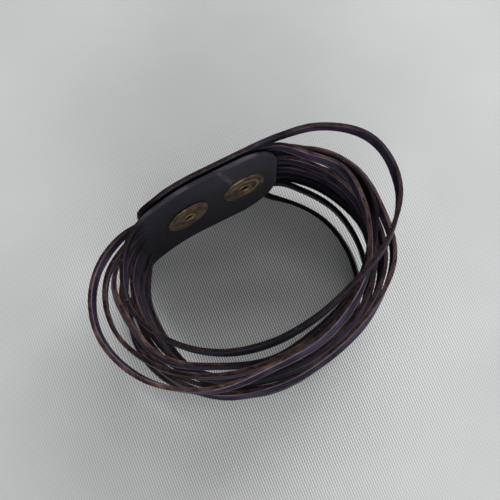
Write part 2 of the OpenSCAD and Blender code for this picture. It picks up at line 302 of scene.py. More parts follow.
@dataclass(frozen=True)
class StripPlan:
    """Sizes and lines of the leather strip, as in the part's source.

    Lengths are in millimetres and angles in degrees.
    """

    pitch: float = 2.9
    strand_w: float = 2.6
    leather_t: float = 1.2
    inner_tab_len: float = 38.5
    outer_tab_len: float = 34.0
    outer_tab_past: float = 1.0
    outer_tab_lift: float = 1.6
    inner_tab_corner: float = 11.0
    outer_tab_corner: float = 8.0
    tab_gap: float = 1.0
    tab_bent_len: float = 16.0
    tab_bend: float = 14.0
    snap_first: float = 11.2
    snap_step: float = 17.2
    flange_d: float = 12.4
    barrel_d: float = 3.6
    narrowing: float = 3.0
    play: float = 0.05
    plan_mid: tuple[float, float] = (0.0, -6.0)
    inner_root: tuple[float, float] = (-26.0, 3.6)
    inner_heading: float = 222.0

    # Points of a strand's line from one bearing of the table to the next, here and
    # in the part's source
    steps: int = 10
    source_steps: int = 5

    @property
    def width(self) -> float:
        """Width of the whole strip."""
        return STRANDS * self.pitch

    @property
    def stack(self) -> float:
        """Distance between the middle surfaces of the fastened tabs."""
        return self.leather_t + self.tab_gap

    @property
    def bend_r(self) -> float:
        """Radius of the tabs' bent stretch."""
        return self.tab_bent_len / math.radians(self.tab_bend)

    @property
    def outer_root_s(self) -> float:
        """Place of the outer tab's slits, from the inner tab's slits."""
        return self.outer_tab_len - self.outer_tab_past

    def tab_heading(self, s: float | np.ndarray) -> float | np.ndarray:
        """Heading of the tabs at distance s from the inner tab's slits."""
        bent = np.minimum(s, self.tab_bent_len) / self.tab_bent_len
        return self.inner_heading - self.tab_bend * bent

    def tab_plan(self, s: float | np.ndarray, d: float | np.ndarray) -> np.ndarray:
        """Point of the tabs in plan.

        Args:
            s: distance from the inner tab's slits.
            d: offset outside the inner tab's middle surface.

        Returns:
            The point, or a row for each.
        """
        mid = np.array(self.inner_root) + self.bend_r * left_of(self.inner_heading)
        turn = self.tab_heading(s)
        reach = (self.bend_r + np.asarray(d, float))[..., None]
        past = np.maximum(0, np.asarray(s, float) - self.tab_bent_len)[..., None]
        return mid - reach * left_of(turn) - past * along(turn)

    def outer_offset(self, s: float | np.ndarray) -> float | np.ndarray:
        """Offset of the outer tab's middle surface, whose end springs away from the wrist.

        Args:
            s: distance from the inner tab's slits.

        Returns:
            Its offset from the inner tab's.
        """
        lift_s = self.snap_first - self.flange_d / 2
        share = np.maximum(0, lift_s - s) / (lift_s + self.outer_tab_past)
        return self.stack + self.outer_tab_lift * share ** 2

    @property
    def outer_root(self) -> np.ndarray:
        """Plan point of the outer tab's slits."""
        return self.tab_plan(self.outer_root_s, self.stack)

    @property
    def outer_heading(self) -> float:
        """Heading of the outer tab at its slits."""
        return float(self.tab_heading(self.outer_root_s))

    def bearing_of(self, point: np.ndarray) -> float:
        """Bearing of a plan point round the middle of the loop."""
        return math.degrees(math.atan2(point[1] - self.plan_mid[1], point[0] - self.plan_mid[0]))

    def route(self, k: int) -> np.ndarray:
        """Middle line of strand k in plan.

        Args:
            k: the strand, from the top.

        Returns:
            One row for each point.
        """
        table = np.array(self.plan_mid) + REACH[k][:, None] * along(BEARING)
        stops = np.vstack([self.inner_root, table, self.outer_root])
        chord = np.diff(stops, axis=0)
        size = np.linalg.norm(chord, axis=1)[:, None]
        inside = chord[:-1] * size[1:] / size[:-1] + chord[1:] * size[:-1] / size[1:]
        inside /= np.linalg.norm(inside, axis=1)[:, None]
        way = np.vstack([along(self.inner_heading), inside, along(self.outer_heading)])
        f = (np.arange(self.steps) / self.steps)[:, None]
        at_start, from_start = 2 * f ** 3 - 3 * f ** 2 + 1, f ** 3 - 2 * f ** 2 + f
        at_end, from_end = 3 * f ** 2 - 2 * f ** 3, f ** 3 - f ** 2
        rows = [at_start * stops[i] + from_start * size[i] * way[i]
                + at_end * stops[i + 1] + from_end * size[i] * way[i + 1]
                for i in range(len(chord))]
        return np.vstack([*rows, self.outer_root])

    def eased(self, row: np.ndarray) -> np.ndarray:
        """A row of the lean or the bare-and-lit table along a route, 0 at the slit ends.

        Args:
            row: the values at the lean table's bearings.

        Returns:
            One value for each point of the route.
        """
        first = self.bearing_of(np.array(self.inner_root))
        last = self.bearing_of(self.outer_root) + 360
        stops = np.array([first, *BEARING, last])
        points = np.arange(self.steps * (len(stops) - 1) + 1) / self.steps
        bearing = np.interp(points, np.arange(len(stops)), stops)
        at = np.array([first, *LEAN_BEARING, last])
        value = np.array([0, *row, 0])
        return sum((value[i + 1] - value[i]) * ease((bearing - at[i]) / (at[i + 1] - at[i]))
                   for i in range(len(at) - 1))

    def strand(self, k: int) -> dict[str, np.ndarray]:
        """Line and section frame of strand k, in millimetres.

        Args:
            k: the strand, from the top.

        Returns:
            centre, up and out as rows, and run, near and width, one value a point.
        """
        c = self.route(k)
        t = np.vstack([along(self.inner_heading), c[2:] - c[:-2], along(self.outer_heading)])
        t /= np.linalg.norm(t, axis=1)[:, None]
        a = np.radians(self.eased(LEAN[k]))
        a[[0, -1]] = 0
        run = np.concatenate([[0], np.cumsum(np.linalg.norm(np.diff(c, axis=0), axis=1))])
        near = np.minimum(run, run[-1] - run)
        width = self.pitch + (self.strand_w - self.pitch) * np.minimum(1, near / self.narrowing)
        out = np.column_stack([t[:, 1], -t[:, 0], np.zeros(len(c))])
        rise = np.array([0, 0, 1.0])
        up = out * np.sin(a)[:, None] + rise * np.cos(a)[:, None]
        side = out * np.cos(a)[:, None] - rise * np.sin(a)[:, None]
        z = np.full(len(c), self.width - (k + 0.5) * self.pitch)
        if k == STRANDS - 1:
            z = (width * np.cos(a) + self.leather_t * np.abs(np.sin(a))) / 2
        return {"centre": np.column_stack([c, z]), "up": up, "out": side,
                "run": run, "near": near, "width": width}

    def box_mid(self) -> np.ndarray:
        """Middle of the outer box in plan, which the part's source moves to the origin.

        Returns:
            Its coordinates.
        """
        points = []
        for k in range(STRANDS):
            s = replace(self, steps=self.source_steps).strand(k)
            for across in (-0.5, 0.5):
                for deep in (-0.5, 0.5):
                    points.append(s["centre"] + s["up"] * across * s["width"][:, None]
                                  + s["out"] * deep * self.leather_t)
        every = np.vstack(points)[:, :2]
        return (every.min(0) + every.max(0)) / 2

    def place(self, xyz: np.ndarray) -> np.ndarray:
        """Moves plan coordinates in millimetres into the part's frame, in metres."""
        return (xyz - np.append(self.box_mid(), 0)) * MM

    def snap_frame(self, snap: Snap) -> tuple[np.ndarray, np.ndarray]:
        """Origin and axes of a press stud: its third axis points away from the wrist.

        Args:
            snap: which press stud.

        Returns:
            The origin in the part's frame in millimetres, and the axes as columns.
        """
        s = self.snap_first + snap.value * self.snap_step
        heading = math.radians(float(self.tab_heading(s)))
        p = self.tab_plan(s, 0) - self.box_mid()
        axes = np.array([[0, math.cos(heading), math.sin(heading)],
                         [0, math.sin(heading), -math.cos(heading)],
                         [-1, 0, 0]])
        return np.array([p[0], p[1], self.width / 2]), axes

    def hollow(self, snap: Snap, d: float) -> float:
        """How far a flat disc of diameter d stands off the middle of the bent leather."""
        s = self.snap_first + snap.value * self.snap_step
        return d ** 2 / (8 * self.bend_r) if s - d / 2 < self.tab_bent_len else 0.0


# Finishes. A range is the two levels of a pattern between which something eases
# in, with the two results if they aren't 0 and 1. A pattern is the size of its
# features in millimetres, its detail and its roughness.

Range = tuple[float, ...]
Pattern = tuple[float, float, float]


@dataclass(frozen=True)
class DyedLeather:
    """Vegetable-tanned cowhide, drum-dyed blue-black and waxed.

    The dye stays in the faces, so a cut edge shows the reddish-brown fibre of the
    middle. The wax gives the faces a soft sheen that turns purple-grey where light
    grazes them, and handling rubs the arrises light and the tabs dull. The light band
    along the arrises is partly a painted highlight, and the faces and edges of
    strands deep in the bundle carry painted shade.
    """

    # Faces: painted shade on strands deep in the bundle, plain and thin, rubbed spots,
    # and the tabs, which handling greys, the more the nearer to the inner tab's end
    face_shaded: str = "#08070b"
    face: str = "#17141f"
    face_light: str = "#38323f"
    scuff: str = "#45424c"
    handled: str = "#2f2e33"
    handled_deep: str = "#222127"
    handled_mm: float = 34.0
    # The arris band's colour and the rim distances over which it eases in: rubbing wear and a
    # painted highlight
    arris: str = "#857a8a"
    arris_mm: Range = (0.45, 0.09)
    sheen: str = "#8d86a0"

    # Cut edges: bare fibres, dyed over and painted dark as shade on strands deep in the bundle, and
    # pale specks
    edge: str = "#57433f"
    edge_dark: str = "#271a1c"
    edge_worn: str = "#7f6354"
    dyed_and_shaded_edge: str = "#131117"
    speck: str = "#a08774"

    # Patterns. A pore of such hide is about 0.15 mm wide, too fine to show, so it
    # is drawn three times as coarse.
    pore_mm: float = 0.45
    blotches: Pattern = (3.5, 4.0, 0.6)
    streaks: Pattern = (2.1, 3.0, 0.6)
    fibres: Pattern = (0.5, 3.0, 0.6)
    rubs: Pattern = (1.6, 5.0, 0.65)
    breaks: Pattern = (0.9, 3.0, 0.6)
    specks: Pattern = (0.5, 2.0, 0.5)
    grain: Pattern = (1.1, 4.0, 0.6)

    # Levels of the patterns
    thin_dye: Range = (0.33, 0.7)
    # Painted shade: where the bare-and-lit value is low, the faces turn near black
    deep_shade: Range = (0.55, 0.02)
    rubbed: Range = (0.66, 0.78, 0.0, 0.45)
    tab_dulled: Range = (0.3, 0.6, 0.75, 1.0)
    arris_streaky: Range = (0.35, 0.62, 0.3, 1.0)
    # The arris band, partly a painted highlight, is weaker on strands in painted shade
    arris_by_bare_and_lit: Range = (0.0, 1.0, 0.1, 0.7)
    fibre_lit: Range = (0.32, 0.6)
    edge_rubbed: Range = (0.52, 0.7, 0.0, 0.8)
    specked: Range = (0.66, 0.76, 0.0, 0.5)
    tab_edge_rubbed: Range = (0.4, 0.6)
    tab_edge_dyed: Range = (0.25, 0.0)
    edge_border: Range = (0.5, 0.68)
    face_rough: Range = (0.3, 0.7, 0.32, 0.44)
    edge_rough: float = 0.7

    # Share of the fibres' pattern in the border of an edge, and what is added to
    # it, then the relief from the pores, the grain and the fibres of an edge
    ragged: tuple[float, float] = (0.3, -0.15)
    pores_high: float = 0.5
    grain_high: float = 1.2
    fibres_high: float = 2.2

    # A crease across the inner tab, as the normal of its line in run and height
    # and the line's distance, its half width, its gaps, and the heights where it
    # fades in
    crease_way: tuple[float, float] = (0.945, -0.327)
    crease_off_mm: float = 25.6
    crease_wide_mm: float = 1.1
    crease_broken: Range = (0.42, 0.62, 0.03, 0.28)
    crease_up_mm: Range = (5.0, 8.0)

    def material(self) -> Material:
        """Builds the material, which reads the piece's strip, cut, raw, rim and tab attributes.

        Returns:
            The material.
        """
        made = bpy.data.materials.new("vegetable_tanned_leather_dyed")
        node = fresh_nodes(made)
        place = node("ShaderNodeTexCoord", out="Object")
        strip = node(ATTRIBUTE, out="Vector", attribute_name="strip")
        cut, raw, rim, tab = (node(ATTRIBUTE, out="Fac", attribute_name=name)
                              for name in ("cut", "raw", "rim", "tab"))
        run, height, _ = node("ShaderNodeSeparateXYZ", (strip,), None).outputs
        # Fibres lie along the strip, so their pattern is drawn out along the run
        drawn = node("ShaderNodeMapping", {"Vector": strip, "Scale": (0.3, 1.0, 1.0)})
        blotches, streaks, fibres, rubs, breaks, specks, grain = (
            node(NOISE, {"Vector": vector, "Scale": 1 / (size * MM), "Detail": detail,
                         "Roughness": rough})
            for vector, (size, detail, rough) in (
                (drawn, self.blotches), (drawn, self.streaks), (drawn, self.fibres),
                (place, self.rubs), (place, self.breaks), (strip, self.specks),
                (place, self.grain)))

        # Each layer of the face: how much of it shows, and its colour
        inward = node(MAP_RANGE, (run, 0.0, -self.handled_mm * MM), **SMOOTH)
        handled = node(MIX, {0: inward, 6: self.handled_deep, 7: self.handled}, 2, **COLOUR)
        dulled = node(MAP_RANGE, (blotches, *self.tab_dulled), **SMOOTH)
        # Arris band: rubbing wear and a painted highlight along the face's border, weaker where the
        # strand carries painted shade
        wear_and_painted_light = node(MAP_RANGE, (rim, *(v * MM for v in self.arris_mm)), **SMOOTH)
        for pattern, limits in ((streaks, self.arris_streaky), (raw, self.arris_by_bare_and_lit)):
            share = node(MAP_RANGE, (pattern, *limits), **SMOOTH)
            wear_and_painted_light = node(MATH, (wear_and_painted_light, share), **TIMES)
        face = self.face
        for shown, colour in (
                (node(MAP_RANGE, (blotches, *self.thin_dye), **SMOOTH), self.face_light),
                # Painted shade: near-black faces on strands that lie deep in the bundle
                (node(MAP_RANGE, (raw, *self.deep_shade), **SMOOTH), self.face_shaded),
                (node(MAP_RANGE, (rubs, *self.rubbed), **SMOOTH), self.scuff),
                (node(MATH, (tab, dulled), **TIMES), handled),
                (node(MATH, (self.crease(node, strip, height, breaks), tab), **TIMES),
                 self.arris),
                (wear_and_painted_light, self.arris)):
            face = node(MIX, {0: shown, 6: face, 7: colour}, 2, **COLOUR)

        edge = self.edge_dark
        for pattern, limits, colour in ((fibres, self.fibre_lit, self.edge),
                                        (streaks, self.edge_rubbed, self.edge_worn)):
            shown = node(MAP_RANGE, (pattern, *limits), **SMOOTH)
            edge = node(MIX, {0: shown, 6: edge, 7: colour}, 2, **COLOUR)
        # Dyed edges and painted shade: edges go near black where the bare-and-lit value is low
        edge = node(MIX, {0: raw, 6: self.dyed_and_shaded_edge, 7: edge}, 2, **COLOUR)
        shown = node(MAP_RANGE, (specks, *self.specked), **SMOOTH)
        edge = node(MIX, {0: shown, 6: edge, 7: self.speck}, 2, **COLOUR)
        shown = node(MAP_RANGE, (streaks, *self.tab_edge_rubbed), **SMOOTH)
        tab_edge = node(MIX, {0: shown, 6: self.handled, 7: self.scuff}, 2, **COLOUR)
        dyed = node(MAP_RANGE, (raw, *self.tab_edge_dyed), **SMOOTH)
        shown = node(MATH, (tab, dyed), **TIMES)
        edge = node(MIX, {0: shown, 6: edge, 7: tab_edge}, 2, **COLOUR)

        # The border between face and edge is ragged by the fibres
        ragged = node(MATH, (fibres, *self.ragged), **TIMES_PLUS)
        ragged = node(MATH, (cut, ragged), **PLUS)
        on_edge = node(MAP_RANGE, (ragged, *self.edge_border), **SMOOTH)
        colour = node(MIX, {0: on_edge, 6: face, 7: edge}, 2, **COLOUR)
        pores = node("ShaderNodeTexVoronoi",
                     {"Vector": place, "Scale": 1 / (self.pore_mm * MM)}, feature="F1")
        grained = node(MATH, (grain, self.grain_high), **TIMES)
        grained = node(MATH, (pores, self.pores_high, grained), **TIMES_PLUS)
        fibrous = node(MATH, (fibres, self.fibres_high), **TIMES)
        relief = node(MIX, {0: on_edge, 2: grained, 3: fibrous}, **NUMBER)
        bump = node("ShaderNodeBump", {"Strength": 0.5, "Distance": 0.06 * MM, "Height": relief})
        satin = node(MAP_RANGE, (blotches, *self.face_rough), **SMOOTH)
        rough = node(MIX, {0: on_edge, 2: satin, 3: self.edge_rough}, **NUMBER)
        shader = node("ShaderNodeBsdfPrincipled", {
            "Base Color": colour, "Roughness": rough, "Normal": bump, "IOR": 1.5,
            "Specular IOR Level": 0.03, "Sheen Weight": 0.02, "Sheen Roughness": 0.4,
            "Sheen Tint": self.sheen})
        node("ShaderNodeOutputMaterial", {"Surface": shader}, None)
        return made

    def crease(self, node: Callable[..., NodeSocket], strip: NodeSocket, height: NodeSocket,
               breaks: NodeSocket) -> NodeSocket:
        """How much of the crease shows.

        Args:
            node: adds a node to the material.
            strip: place on the strip.
            height: its part across the strip.
            breaks: the pattern that breaks the crease up.

        Returns:
            The socket with the share.
        """
        turned = node(VECTOR_MATH, (strip, (*self.crease_way, 0.0)), "Value",
                      operation="DOT_PRODUCT")
        shifted = node(MATH, (turned, self.crease_off_mm * MM), **PLUS)
        off = node(MATH, (shifted,), operation="ABSOLUTE")
        shown = node(MAP_RANGE, (off, self.crease_wide_mm * MM, 0.0), **SMOOTH)
        for pattern, limits in ((breaks, self.crease_broken),
                                (height, [v * MM for v in self.crease_up_mm])):
            share = node(MAP_RANGE, (pattern, *limits), **SMOOTH)
            shown = node(MATH, (shown, share), **TIMES)
        return shown


@dataclass(frozen=True)
class AntiqueBrass:
    """Pressed brass sheet, blackened and relieved by rubbing.

    The dark patina stays in the grooves, and the ridges are rubbed to a dull
    yellow-brown metal with soft gloss. One side of each piece is painted brighter as a
    highlight, and the wall of the flange's hole is painted near black as shade.
    """

    painted_hole_shade: str = "#0d0b0a"
    patina: str = "#54463e"
    brown: str = "#846e57"
    bright: str = "#baad86"
    spots: Pattern = (0.8, 4.0, 0.6)
    clouds: Pattern = (3.2, 2.0, 0.5)

    # Share of the spots in the wear, and what is added to it
    spotted: tuple[float, float] = (0.8, -0.4)

    # Levels: of the clouds in the patina, of wear with spots in it, of wear
    # below which the painted shade down the hole stays, and the roughness from patina to bright
    # metal
    clouded: Range = (0.35, 0.65)
    rubbed: Range = (0.3, 0.95)
    unshaded: Range = (-0.3, 0.15)
    gloss: Range = (0.0, 1.0, 0.55, 0.34)

    def material(self) -> Material:
        """Builds the material, which reads the piece's worn attribute, if it has one.

        Returns:
            The material.
        """
        made = bpy.data.materials.new("antique_brass_pressed")
        node = fresh_nodes(made)
        place = node("ShaderNodeTexCoord", out="Object")
        worn = node(ATTRIBUTE, out="Fac", attribute_name="worn")
        spots, clouds = (node(NOISE, {"Vector": place, "Scale": 1 / (size * MM),
                                      "Detail": detail, "Roughness": rough})
                         for size, detail, rough in (self.spots, self.clouds))
        spotted = node(MATH, (spots, *self.spotted), **TIMES_PLUS)
        shine = node(MATH, (worn, spotted), **PLUS)
        cloudy, rubbed, unshaded = (
            node(MAP_RANGE, (value, *limits), **SMOOTH) for value, limits in (
                (clouds, self.clouded), (shine, self.rubbed), (worn, self.unshaded)))
        base = node(MIX, {0: cloudy, 6: self.patina, 7: self.brown}, 2, **COLOUR)
        # Painted shade: near black down the flange's hole, where the wear value is below 0
        base = node(MIX, {0: unshaded, 6: self.painted_hole_shade, 7: base}, 2, **COLOUR)
        colour = node(MIX, {0: rubbed, 6: base, 7: self.bright}, 2, **COLOUR)
        rough = node(MAP_RANGE, (rubbed, *self.gloss))
        bump = node("ShaderNodeBump", {"Strength": 0.4, "Distance": 0.05 * MM, "Height": spots})
        shader = node("ShaderNodeBsdfPrincipled", {
            "Base Color": colour, "Roughness": rough, "Normal": bump, "Metallic": 0.85})
        node("ShaderNodeOutputMaterial", {"Surface": shader}, None)
        return made


@dataclass(frozen=True)
class PaleCloth:
    """Twill-woven cotton backdrop cloth, pale grey, whose diagonal ribs just show."""

    light: str = "#f2f3f3"
    dark: str = "#8c8d8d"
    rib_mm: float = 0.66
    cross_mm: float = 0.924
    lines_deg: float = -22.0
    clouds_mm: float = 40.0
    rib_share: float = 0.88
    clouds_share: float = 0.2
    levels: Range = (-0.4, 0.6)

    # Where the weave shows best, the distances over which it fades, and by how much
    clear_mm: tuple[float, float, float] = (5.0, -12.0, 0.0)
    fade_mm: Range = (80.0, 12.0)
    fade: Range = (0.08, 1.0)

    def material(self) -> Material:
        """Builds the material for the floor.

        Returns:
            The material.
        """
        made = bpy.data.materials.new("cotton_backdrop_pale_grey")
        node = fresh_nodes(made)
        place = node("ShaderNodeTexCoord", out="Object")
        turned = node("ShaderNodeMapping",
                      {"Vector": place, "Rotation": (0.0, 0.0, math.radians(self.lines_deg))})
        # A wave's scale of 0.314 gives bands a metre apart. The cross threads show less
        rib, cross = (
            node(WAVE, {"Vector": turned, "Scale": 0.314 / (size * MM), "Distortion": bent,
                        "Detail": detail, "Detail Scale": fine, "Detail Roughness": rough},
                 "Fac", bands_direction=way)
            for way, size, bent, detail, fine, rough in (
                ("X", self.rib_mm, 1.3, 3.0, 1.5, 0.6), ("Y", self.cross_mm, 0.8, 2.0, 2.0, 0.5)))
        crossed = node(MATH, (cross, 1 - self.rib_share), **TIMES)
        weave = node(MATH, (rib, self.rib_share, crossed), **TIMES_PLUS)
        away = node(VECTOR_MATH, (place, [v * MM for v in self.clear_mm]), "Value",
                    operation="DISTANCE")
        clear = node(MAP_RANGE, (away, *(v * MM for v in self.fade_mm), *self.fade), **SMOOTH)
        # The ribs darken and lighten the cloth about their middle level
        weave = node(MATH, (node(MATH, (weave, 0.5), **MINUS), clear), **TIMES)
        clouds = node(NOISE, {"Vector": place, "Scale": 1 / (self.clouds_mm * MM), "Detail": 2.0})
        shade = node(MATH, (clouds, self.clouds_share, weave), **TIMES_PLUS)
        level = node(MAP_RANGE, (shade, *self.levels))
        colour = node(MIX, {0: level, 6: self.dark, 7: self.light}, 2, **COLOUR)
        bump = node("ShaderNodeBump", {"Strength": 0.35, "Distance": 0.1 * MM, "Height": weave})
        shader = node("ShaderNodeBsdfPrincipled", {
            "Base Color": colour, "Normal": bump, "Roughness": 0.95, "Specular IOR Level": 0.2})
        node("ShaderNodeOutputMaterial", {"Surface": shader}, None)
        return made


# Leather


@dataclass
class LeatherStrip:
    """The slit strip: strands swept by Geometry Nodes, welded to the two tabs."""

    plan: StripPlan
    finish: Material
    arris_mm: float = 0.22

    # Waver of a strand's width, of how bare its edges are and so of its painted shade, and grit of
    # the edges
    uneven_mm: float = 0.05
    uneven_size_mm: float = 9.0
    uneven_mid: float = 0.4
    uneven_seed: int = 10
    bare_and_lit_varies: float = 0.2
    bare_and_lit_size_mm: float = 25.0
    bare_and_lit_seed: int = 40
    rough_mm: float = 0.08
    rough_size_mm: float = 0.9
    rough_mid: float = 0.55
    rough_seed: float = 3.0

    # How far from its slits a strand is free of its tab, has round arrises, and is
    # greyed like the tab
    free_from_mm: float = 3.0
    round_from_mm: float = 1.5
    handled_to_mm: float = 7.0

    # Points across a strand's face, and columns of a tab's grid up to its rounded
    # end and over it
    face_mids: tuple[float, ...] = (-0.66, -0.22, 0.22, 0.66)
    plain_columns: int = 26
    middle_columns: int = 7
    middle_mm: float = 2.0
    weld_mm: float = 0.002
    drill_segments: int = 48

    # Along a rounded corner, from the cut edge to the face: share of the corner
    # radius left of the edge, and share short of the face, rounded and sharp
    ROUND = tuple((1 - math.cos(math.radians(a)), 1 - math.sin(math.radians(a)))
                  for a in (0, 22.5, 45, 67.5, 90))
    SHARP = ((0, 1), (0, 0.5), (0, 0), (0.5, 0), (1, 0))

    # Columns of the section's table: the signs across and through the strand, 1 on
    # the upper half, 1 on a cut edge, and the place on the rounded and sharp corner
    SECTION = ("side", "face", "top", "cut", "round_e", "round_in", "sharp_e", "sharp_in")

    # Names of the values that the dressed leather carries for its finish
    CARRIED = ("cut", "raw", "rim", "tab")

    # How bare the edges of each tab are
    TAB_RAW = {Tab.INNER: 0.0, Tab.OUTER: 0.3}

    def section(self) -> np.ndarray:
        """Points round a strand's section.

        Returns:
            A row of the section's table for each.
        """
        bends = [(1 - i / 4, *r, *s) for i, (r, s) in enumerate(zip(self.ROUND, self.SHARP))]
        rows = []
        for side, face in ((-1, 1), (1, -1)):
            top = (side + 1) / 2
            rows.append((side, 0, top, 1, 0, 0, 0, 0))
            rows += [(side, face, top, *bend) for bend in bends]
            rows += [(mid, face, mid > 0, 0, 1, 0, 1, 0) for mid in self.face_mids[::face]]
            rows += [(-side, face, 1 - top, *bend) for bend in bends[::-1]]
        return np.array(rows, float)

    def section_object(self) -> Object:
        """The section as a closed line of points that carry its values.

        Returns:
            The line, as an object.
        """
        rows = self.section()
        n = len(rows)
        ring = [(i, (i + 1) % n) for i in range(n)]
        spots = np.append(along(360 * np.arange(n) / n), np.zeros((n, 1)), axis=1) * MM
        values = dict(zip(self.SECTION, rows.T))
        return mesh_object("strand_section", carrying("strand_section", spots, ring, [], values))

    def paths_object(self) -> Object:
        """The strands' middle lines as one mesh of edges that carries their frames.

        Returns:
            The lines, as an object.
        """
        parts, edges, start = [], [], 0
        for k in range(STRANDS):
            s = self.plan.strand(k)
            n = len(s["run"])
            free = ease(s["near"] / self.free_from_mm)
            uneven = waves(s["run"], self.uneven_seed + k, self.uneven_size_mm)
            width = s["width"] + free * self.uneven_mm * (uneven - self.uneven_mid)
            rounded = ease(s["near"] / self.round_from_mm)
            waver = waves(s["run"], self.bare_and_lit_seed + k, self.bare_and_lit_size_mm)
            # How bare of dye the edges are, and where this is low, painted shade on the strand
            bare_lit_share = self.plan.eased(BARE_AND_LIT[k]) * (1 + self.bare_and_lit_varies * waver)
            parts.append({
                "centre": self.plan.place(s["centre"]), "up": s["up"], "out": s["out"],
                "run": s["run"] * MM, "width": width * MM, "free": free,
                "soft_top": np.ones(n) if k == 0 else rounded,
                "soft_bottom": np.ones(n) if k == STRANDS - 1 else rounded,
                "raw": np.clip(bare_lit_share, 0, 1), "tab": 1 - ease(s["near"] / self.handled_to_mm),
            })
            edges += [(start + i, start + i + 1) for i in range(n - 1)]
            start += n
        values = stacked(parts)
        return mesh_object("strand_paths",
                           carrying("strand_paths", values["centre"], edges, [], values))

    def sweep_tree(self) -> NodeTree:
        """Geometry Nodes that sweep the section along the paths.

        Returns:
            The tree. Its inputs are the paths, the section, the leather's thickness,
            the corner radius, the roughness of the cut edges with its size and seed,
            and the material.
        """
        tree = bpy.data.node_groups.new("strand_sweep", "GeometryNodeTree")
        sockets = tree.interface
        sockets.new_socket("Geometry", in_out="OUTPUT", socket_type="NodeSocketGeometry")
        for name, kind in (("Paths", "Geometry"), ("Section", "Object"), ("Thickness", "Float"),
                           ("Corner radius", "Float"), ("Edge roughness", "Float"),
                           ("Roughness size", "Float"), ("Seed", "Float"), ("Leather", "Material")):
            sockets.new_socket(name, in_out="INPUT", socket_type="NodeSocket" + kind)
        node = partial(add, tree)
        given = node("NodeGroupInput", out=None).outputs
        known = {name: node("GeometryNodeInputNamedAttribute", {"Name": name}, "Attribute",
                            **kind)
                 for kind, names in (
                     (NUMBER, (*self.SECTION, "run", "width", "free", "soft_top", "soft_bottom")),
                     (VECTOR, ("centre", "up", "out")))
                 for name in names}

        paths = node("GeometryNodeMeshToCurve", {"Mesh": given["Paths"]})
        seen = node("GeometryNodeObjectInfo", {"Object": given["Section"]}, "Geometry")
        ring = node("GeometryNodeMeshToCurve", {"Mesh": seen})
        swept = node("GeometryNodeCurveToMesh", {"Curve": paths, "Profile Curve": ring})

        # A point's place across and through the strand, short of the corner's inset
        soft = node(MIX, {0: known["top"], 2: known["soft_bottom"], 3: known["soft_top"]}, **NUMBER)
        half = node(MATH, (known["width"], 0.5), **TIMES)
        half_deep = node(MATH, (given["Thickness"], 0.5), **TIMES)
        placed = []
        for way, full, sign in (("e", half, "side"), ("in", half_deep, "face")):
            inset = node(MIX, {0: soft, 2: known["sharp_" + way], 3: known["round_" + way]},
                         **NUMBER)
            inset = node(MATH, (inset, given["Corner radius"]), **TIMES)
            short = node(MATH, (full, inset), **MINUS)
            placed.append(node(MATH, (known[sign], short), **TIMES))
        across, deep = placed

        # Cut edges are ragged, where the strand is free of its tab
        strip = node("ShaderNodeCombineXYZ", (known["run"], across, deep))
        fine = node(MATH, (1.0, given["Roughness size"]), operation="DIVIDE")
        grit = node(NOISE, {"Vector": strip, "W": given["Seed"], "Scale": fine,
                            "Detail": 2.0}, noise_dimensions="4D")
        ragged = node(MATH, (grit, self.rough_mid), **MINUS)
        for factor in (given["Edge roughness"], known["cut"], known["free"], known["side"]):
            ragged = node(MATH, (ragged, factor), **TIMES)
        moved = known["centre"]
        for way, size in (("up", node(MATH, (across, ragged), **PLUS)), ("out", deep)):
            step = node(VECTOR_MATH, {0: known[way], 3: size}, operation="SCALE")
            moved = node(VECTOR_MATH, (moved, step), **PLUS)

        # The strip coordinate is stored first, because it reads the section's place
        stored = node(STORE, {"Geometry": swept, "Name": "strip", "Value": strip}, **VECTOR)
        off_middle = node(MATH, (across,), operation="ABSOLUTE")
        rim = node(MATH, (half, off_middle), **MINUS)
        stored = node(STORE, {"Geometry": stored, "Name": "rim", "Value": rim}, **NUMBER)
        shaped = node("GeometryNodeSetPosition", {"Geometry": stored, "Position": moved})
        real = node("GeometryNodeRealizeInstances", {"Geometry": shaped})
        done = node("GeometryNodeSetMaterial", {"Geometry": real, "Material": given["Leather"]})
        node("NodeGroupOutput", {"Geometry": done}, None)
        return tree

    def swept_strands(self) -> Mesh:
        """Sweeps all strands.

        Returns:
            Their open tubes, as a plain mesh.
        """
        section, paths, tree = self.section_object(), self.paths_object(), self.sweep_tree()
        modifier = paths.modifiers.new("sweep", "NODES")
        modifier.node_group = tree
        values = {"Section": section, "Thickness": self.plan.leather_t * MM,
                  "Corner radius": self.arris_mm * MM, "Edge roughness": self.rough_mm * MM,
                  "Roughness size": self.rough_size_mm * MM, "Seed": self.rough_seed,
                  "Leather": self.finish}
        for socket in tree.interface.items_tree:
            if socket.in_out == "INPUT" and socket.name in values:
                modifier[socket.identifier] = values[socket.name]
        mesh = frozen(paths)
        for scratch in (paths, section):
            bpy.data.objects.remove(scratch)
        return mesh

    def levels(self) -> np.ndarray:
        """Heights of a tab's grid, which are those of the strands' points at the slits.

        Returns:
            The heights in millimetres, from the lowest.
        """
        r, pitch = self.arris_mm, self.plan.pitch
        heights: list[float] = []
        for row in range(STRANDS):
            low = self.ROUND if row == 0 else self.SHARP
            high = self.ROUND if row == STRANDS - 1 else self.SHARP
            base = row * pitch
            heights += [base + r * e for e, _ in low]
            heights += [base + pitch / 2 + m * (pitch / 2 - r) for m in self.face_mids]
            heights += [base + pitch - r * e for e, _ in high[::-1]]
        ordered = np.sort(heights)
        return ordered[np.diff(ordered, prepend=-1) > 1e-6]

